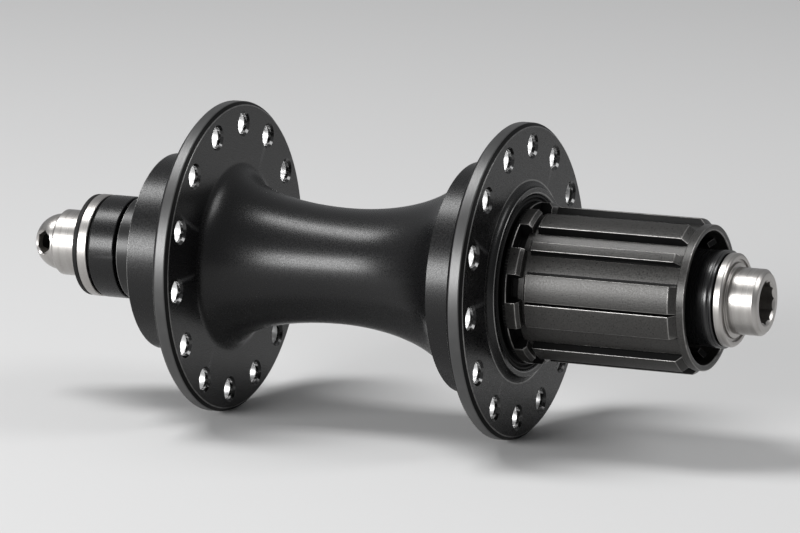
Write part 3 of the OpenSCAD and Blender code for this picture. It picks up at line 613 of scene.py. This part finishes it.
# Lit and shaded copies of the black on the flange rims: the rim band is lighter, a painted sheen, and
# the rim chamfer darker, painted shade.
rim_painted_sheen = surface("rim_painted_sheen", fine_grain, "Grain", {"Grains per mm": 9.0, "Clouds per mm": 0.3},
                    ((0.010, 0.010, 0.010), (0.030, 0.030, 0.030)), (0.30, 0.46), bump=0.004,
                    cloud="Cloud", level=0.75)
chamfer_painted_shade = surface("chamfer_painted_shade", fine_grain, "Grain", {"Grains per mm": 9.0},
                        ((0.0015, 0.0015, 0.0015), (0.004, 0.004, 0.004)), (0.40, 0.52), bump=0.003,
                        cloud="Cloud", level=0.10)
rim_sheen, chamfer_shade, shell_rim_highlight = add_finishes(shell, rim_painted_sheen, chamfer_painted_shade, painted_rim_highlight)
# Small rim edge faces, the boss rim and the housing rim get the painted highlight.
for polygon in shell.data.polygons:
    if polygon.material_index:
        continue
    t, radius = axle_place(polygon.center)
    lean = math.degrees(math.acos(min(1, abs(polygon.normal.y))))
    on_boss = t > right_flange[1] - 0.1 and 17.9 < radius < 21.3
    boss_rim = on_boss and lean > 3 and (t > 28.05 or radius > 21.0)
    housing_rim = t < housing_t + 0.2 and radius > 20.8
    if radius > rim_r - 0.3 and lean > 5:
        if radius > flange_r - 0.1:
            polygon.material_index = rim_sheen
        elif radius > rim_r + 0.1:
            polygon.material_index = chamfer_shade
        else:
            polygon.material_index = shell_rim_highlight
    elif boss_rim or housing_rim:
        polygon.material_index = shell_rim_highlight
shell_faces = bmesh.new()
shell_faces.from_mesh(shell.data)
for edge in shell_faces.edges:
    flat = [abs(face.normal.y) > 0.9999 for face in edge.link_faces]
    if len(flat) == 2 and flat[0] != flat[1]:
        edge.smooth = False
shell_faces.to_mesh(shell.data)
shell_faces.free()
even_shading(shell)

# Right seal: a moulded ring pressed into the shell round the pawl drum. Its lips show as
# fine rings between the boss and the freehub.
seal_mesh = bmesh.new()
turn_outline(seal_mesh, [(25.45, 14.1), (25.45, 18.25), (27.9, 18.25), (28.05, 17.8), (27.5, 17.5),
                         (28.0, 17.2), (28.0, 16.9), (27.4, 16.6), (27.4, 14.1)], corner=0.1)
seal = finish_piece(seal_mesh, "right_lip_seal", "shell_group", black_rubber, ["right_seal"])
even_shading(seal)

# Freehub body: milled from steel and blackened. A drum with three pawl pockets runs inside
# the shell; outside, lands and stop blocks carry the cassette. Its broken edges carry a painted
# highlight, and its flanks, stop groove, mouth ribs and a thin strip along each land's foot carry
# painted shade.
gunmetal = surface("gunmetal", fine_grain, "Grain", {"Grains per mm": 3.4},
                   ((0.006, 0.006, 0.006), (0.058, 0.056, 0.053)), (0.26, 0.44), metallic=0.4,
                   bump=0.017, level=0.38, wear_highlight_shade=(0.3, (0.20, 0.20, 0.19)))
# Painted highlight: a light metal colour on the freehub's small edge faces.
painted_edge_highlight = surface("painted_edge_highlight", fine_grain, "Grain", {"Grains per mm": 5.0, "Clouds per mm": 0.7},
                      ((0.04, 0.039, 0.038), (0.38, 0.37, 0.36)), (0.24, 0.40), metallic=1.0,
                      bump=0.006, cloud="Cloud")
# Painted shade: a near-black colour on flanks and in recesses, where shade falls.
painted_flank_shade = surface("painted_flank_shade", fine_grain, "Grain", {"Grains per mm": 6.0},
                      ((0.001, 0.001, 0.001), (0.005, 0.005, 0.005)), (0.45, 0.6), bump=0.004,
                      cloud="Cloud", level=0.10)
body_mesh = bmesh.new()
drum = [(15.8, 9.4), (15.8, 13.8), (28.6, 13.8)]
groove = [(28.6, 16.9), (29.6, 16.9), (29.6, 14.1), (31.2, 14.1), (31.2, 14.7)]
barrel = [(66.2, 14.7), (66.2, 15.1), (67.9, 15.1), (67.9, 14.0), (67.6, 13.8)]
bores = [(60.3, 13.8), (60.3, 12.0), (54.0, 12.0), (54.0, 11.0), (32.2, 11.0), (32.2, 12.0),
         (27.2, 12.0), (27.2, 9.4)]
turn_outline(body_mesh, drum + groove + barrel + bores, corner=0.2, steps=180)
freehub = finish_piece(body_mesh, "freehub_spline_body", "freehub_group", gunmetal,
                       ["freehub_body"])
edge_sheen, flank_shade = add_finishes(freehub, painted_edge_highlight, painted_flank_shade)
pawls = 3
first_pawl = -30
pocket_start = 17.95
pocket_length = 7.1
pocket_middle = 21.5
pivot_r = 12.7
heel_r = 1.45
pocket_side = [(10.3, 0.3), (12.7, 0.3), (14.8, 0.6), (12.686, 7.622), (10.543, 6.335), (10.3, 6.0)]
for number in range(pawls):
    turned_by = Matrix.Rotation(math.radians(first_pawl - 360 / pawls * number), 4, "Y")
    pocket = bmesh.new()
    end_face = pocket.faces.new([pocket.verts.new((x / 1000, -pocket_start / 1000, -z / 1000))
                                 for x, z in pocket_side])
    grown = bmesh.ops.extrude_face_region(pocket, geom=[end_face])
    bmesh.ops.translate(pocket, verts=[v for v in grown["geom"] if isinstance(v, bmesh.types.BMVert)],
                        vec=(0, -pocket_length / 1000, 0))
    bmesh.ops.recalc_face_normals(pocket, faces=pocket.faces)
    bmesh.ops.transform(pocket, matrix=turned_by, verts=pocket.verts)
    cut_away(freehub, pocket)
    heel = bmesh.new()
    bmesh.ops.create_cone(heel, cap_ends=True, segments=48, radius1=heel_r / 1000,
                          radius2=heel_r / 1000, depth=pocket_length / 1000)
    heel_place = Matrix.Translation((pivot_r / 1000, -pocket_middle / 1000, 0))
    bmesh.ops.transform(heel, verts=heel.verts,
                        matrix=turned_by @ heel_place @ Matrix.Rotation(math.pi / 2, 4, "X"))
    cut_away(freehub, heel)


def swept_block(mesh, outline, middle, width, steps=8, edge=0.13, front=0):
    """Adds a block whose side view is the outline of (t, radius) in millimetres and which
    spans width degrees about the axle, with parallel flanks and broken edges. front is the
    number of the material on all faces but flanks and edges."""
    hard_turn = 25
    body = bmesh.new()
    side = body.faces.new([body.verts.new((r / 1000, -t / 1000, 0)) for t, r in outline])
    bmesh.ops.spin(body, geom=[side], cent=(0, 0, 0), axis=(0, -1, 0),
                   angle=math.radians(width), steps=steps, use_merge=False)
    bmesh.ops.recalc_face_normals(body, faces=body.faces)
    outer = max(r for t, r in outline) / 1000
    half = outer * math.sin(math.radians(width / 2))
    for vert in body.verts:
        radius = math.hypot(vert.co.x, vert.co.z)
        turn = math.degrees(math.atan2(vert.co.z, vert.co.x))
        share = turn / (width / 2) - 1
        flat = math.asin(min(1, half * share / radius)) + math.radians(middle)
        vert.co.x = radius * math.cos(flat)
        vert.co.z = radius * math.sin(flat)
    bmesh.ops.recalc_face_normals(body, faces=body.faces)
    # Flanks get the painted shade.
    for face in body.faces:
        centre = face.calc_center_median()
        outward = Vector((centre.x, 0, centre.z)).normalized()
        on_flank = abs(face.normal.y) < 0.3 and abs(face.normal.dot(outward)) < 0.6
        face.material_index = flank_shade if on_flank else front
    hard = [e for e in body.edges
            if len(e.link_faces) == 2 and e.calc_face_angle(0) > math.radians(hard_turn)]
    broken = bmesh.ops.bevel(body, geom=hard, offset=edge / 1000, offset_type="OFFSET", segments=2,
                             profile=0.5, affect="EDGES", clamp_overlap=True, material=-1)
    # The broken edges get the painted highlight.
    for face in broken["faces"]:
        face.material_index = edge_sheen
    data = bpy.data.meshes.new("block")
    body.to_mesh(data)
    body.free()
    mesh.from_mesh(data)
    bpy.data.meshes.remove(data)


places = 9
place_pitch = 40
first_place = 152.6
stop_width = 20
narrow_rib = (139.2, 7.5)
wide_land = (171.4, 20.4)
lands = [narrow_rib, wide_land] + [(first_place + place_pitch * n, 18) for n in range(1, places)]
land_top = 16.2
land_side = [(33.1, 14.3), (33.1, 16.0), (33.4, land_top), (64.9, land_top), (66.2, 14.95),
             (66.2, 14.3)]
stop_side = [(28.7, 13.9), (28.7, 16.9), (31.5, 16.9), (32.2, 16.1), (32.2, 13.9)]
# A thin dark strip of painted shade along the foot of each land.
shade_strip_top = 14.735
shade_strip_reach = 0.42
shade_strip_side = [(33.1, 14.5), (33.1, shade_strip_top), (66.1, shade_strip_top), (66.1, 14.5)]
freehub_mesh = bmesh.new()
freehub_mesh.from_mesh(freehub.data)
# The stop groove's faces get painted shade.
for face in freehub_mesh.faces:
    t, radius = axle_place(face.calc_center_median())
    if 28.55 < t < 31.3 and radius > 13.9:
        face.material_index = flank_shade
for number in range(places):
    swept_block(freehub_mesh, stop_side, first_place + place_pitch * number, stop_width)
for middle, width in lands:
    swept_block(freehub_mesh, land_side, middle, width)
    half_shade_strip = land_top * math.sin(math.radians(width / 2)) + shade_strip_reach
    shade_strip_width = 2 * math.degrees(math.asin(half_shade_strip / shade_strip_top))
    swept_block(freehub_mesh, shade_strip_side, middle, shade_strip_width, edge=0.01, front=flank_shade)
# The mouth ribs are coloured all over with painted shade.
mouth_ribs = 12
first_rib = 166.4
rib_width = 7.2
rib_side = [(60.2, 12.5), (64.2, 12.5), (65.5, 13.85), (65.5, 14.0), (60.2, 14.0)]
for number in range(mouth_ribs):
    swept_block(freehub_mesh, rib_side, first_rib + 360 / mouth_ribs * number, rib_width,
                steps=2, edge=0.07, front=flank_shade)
# The mouth rim and the collar rim get the painted highlight.
for face in freehub_mesh.faces:
    t, radius = axle_place(face.calc_center_median())
    mouth_rim = t > 67.55 and radius > 13.75
    collar_rim = 29.35 < t < 29.65 and radius > 16.65
    if 0.1 < abs(face.normal.y) < 0.98 and (mouth_rim or collar_rim):
        face.material_index = edge_sheen
shade_smooth(freehub_mesh)
freehub_mesh.to_mesh(freehub.data)
freehub_mesh.free()
even_shading(freehub)

# Dust cap: a turned and polished black ring that closes the outboard bearing. It narrows
# a little in the middle and ends in a thin lip.
gloss_black = surface("gloss_black", turning_marks, "Fine", {"Rings per mm": 4.0},
                      ((0.004, 0.004, 0.0045), (0.008, 0.008, 0.0085)), (0.24, 0.32), bump=0.0006,
                      cloud="Broad", coat=0.15)
waist_steps = 16
cap_mouth = [(59.0, 7.52), (59.0, 9.0), (59.3, 9.4), (60.2, 10.15), (61.3, 10.15)]
cap_waist = [(61.3 + 9.5 * i / waist_steps, 9.9 + 0.25 * (2 * i / waist_steps - 1) ** 2)
             for i in range(1, waist_steps)]
cap_lip = [(70.8, 10.12), (71.1, 9.8), (71.3, 9.8), (71.45, 10.15), (71.9, 10.15), (71.9, 9.0),
           (axle_end_t, 9.0), (axle_end_t, 7.52)]
cap_mesh = bmesh.new()
turn_outline(cap_mesh, cap_mouth + cap_waist + cap_lip, corner=0.1)
cap = finish_piece(cap_mesh, "gloss_dust_cap", "axle_group", gloss_black, ["dust_cap"])
even_shading(cap)

# Cap O-ring: a thin ring of moulded rubber. It is the dark line between the dust cap and
# the silver collar, which presses it flat.
cap_ring_mesh = bmesh.new()
turn_outline(cap_ring_mesh, [(71.9, 9.02), (71.9, 9.2), (axle_end_t, 9.2), (axle_end_t, 9.02)],
             corner=0.05)
finish_piece(cap_ring_mesh, "cap_seal_ring", "axle_group", black_rubber, ["cap_o_ring"])

# Right end cap: one silver turning with a plug in the axle, a collar that meets the
# dropout, and a stub with a twelve-point socket broached into its end.
right_dropout_t = 74.0
stub_end_t = 80.4
plug = [(58.2, skewer_r), (58.2, 4.98), (axle_end_t, 4.98)]
collar = [(axle_end_t, 9.7), (73.6, 9.7), (right_dropout_t, 9.3), (right_dropout_t, 8.5),
          (73.4, 8.5), (73.4, 7.8), (right_dropout_t, 7.8), (right_dropout_t, 6.9)]
stub = [(79.6, 6.9), (stub_end_t, 6.1), (stub_end_t, skewer_r)]
end_mesh = bmesh.new()
turn_outline(end_mesh, plug + collar + stub, corner=0.14)
end_cap = finish_piece(end_mesh, "silver_end_cap", "axle_group", turned_silver,
                       ["right_end_cap"])
socket_flats = 8.0
socket_r = socket_flats / 2 / math.cos(math.pi / 6)
socket_depth = 8.0
socket_middle = 77.4
for turn in (0, math.pi / 6):
    socket_tool = bmesh.new()
    bmesh.ops.create_cone(socket_tool, cap_ends=True, segments=6, radius1=socket_r / 1000,
                          radius2=socket_r / 1000, depth=socket_depth / 1000)
    for angle, axis in ((turn, "Z"), (math.pi / 2, "X")):
        bmesh.ops.rotate(socket_tool, verts=socket_tool.verts, cent=(0, 0, 0),
                         matrix=Matrix.Rotation(angle, 3, axis))
    bmesh.ops.translate(socket_tool, verts=socket_tool.verts, vec=(0, -socket_middle / 1000, 0))
    cut_away(end_cap, socket_tool)
mouth_tool = bmesh.new()
turn_outline(mouth_tool, [(79.95, 0), (79.95, socket_r - 0.25), (81.2, socket_r + 1.0), (81.2, 0)],
             corner=0, steps=96)
cut_away(end_cap, mouth_tool)
even_shading(end_cap)

# Parts inside the hub keep their CAD shapes: rings, balls and shields of ground steel,
# moulded cages, grey spacers, oiled ratchet and pawls, and bright springs.
ground_steel = surface("ground_steel", turning_marks, "Fine", {"Rings per mm": 12.0},
                       ((0.55, 0.55, 0.56), (0.70, 0.70, 0.71)), (0.12, 0.22), metallic=1.0,
                       bump=0.001, cloud="Broad")
pressed_sheet = surface("pressed_sheet", turning_marks, "Fine", {"Rings per mm": 3.0},
                        ((0.16, 0.16, 0.17), (0.26, 0.26, 0.27)), (0.3, 0.42), metallic=1.0,
                        bump=0.003, cloud="Broad")
cage_nylon = surface("cage_nylon", fine_grain, "Grain", {"Grains per mm": 6.0},
                     ((0.42, 0.35, 0.22), (0.52, 0.44, 0.30)), (0.45, 0.6), bump=0.004, cloud="Cloud")
grey_aluminium = surface("grey_aluminium", turning_marks, "Fine", {"Rings per mm": 5.0},
                         ((0.30, 0.30, 0.31), (0.42, 0.42, 0.43)), (0.3, 0.45), metallic=1.0,
                         bump=0.004, cloud="Broad")
oiled_steel = surface("oiled_steel", fine_grain, "Grain", {"Grains per mm": 5.0},
                      ((0.20, 0.19, 0.18), (0.32, 0.31, 0.30)), (0.2, 0.34), metallic=1.0, bump=0.003,
                      cloud="Cloud", wear_highlight_shade=(0.6, (0.6, 0.6, 0.6)))
spring_steel = surface("spring_steel", fine_grain, "Grain", {"Grains per mm": 8.0},
                       ((0.48, 0.48, 0.48), (0.62, 0.62, 0.62)), (0.16, 0.26), metallic=1.0,
                       bump=0.001, cloud="Cloud")
bearing_names = ("left", "right", "inboard", "outboard")
inside_finishes = [
    (ground_steel, [f"{b}_bearing_{k}" for b in bearing_names for k in ("inner", "outer", "balls")]),
    (pressed_sheet, [f"{b}_bearing_shields" for b in bearing_names]),
    (cage_nylon, [f"{b}_bearing_cage" for b in bearing_names]),
    (grey_aluminium, ["center_spacer", "mid_spacer", "freehub_spacer"]),
    (oiled_steel, ["ratchet_ring", "pawl_1", "pawl_2", "pawl_3"]),
    (spring_steel, ["retaining_clip", "pawl_spring_1", "pawl_spring_2", "pawl_spring_3"]),
    (black_rubber, ["left_seal"]),
]
for finish, nodes_inside in inside_finishes:
    for node_name in nodes_inside:
        data = cad[node_name].data
        data.materials.clear()
        data.materials.append(finish)
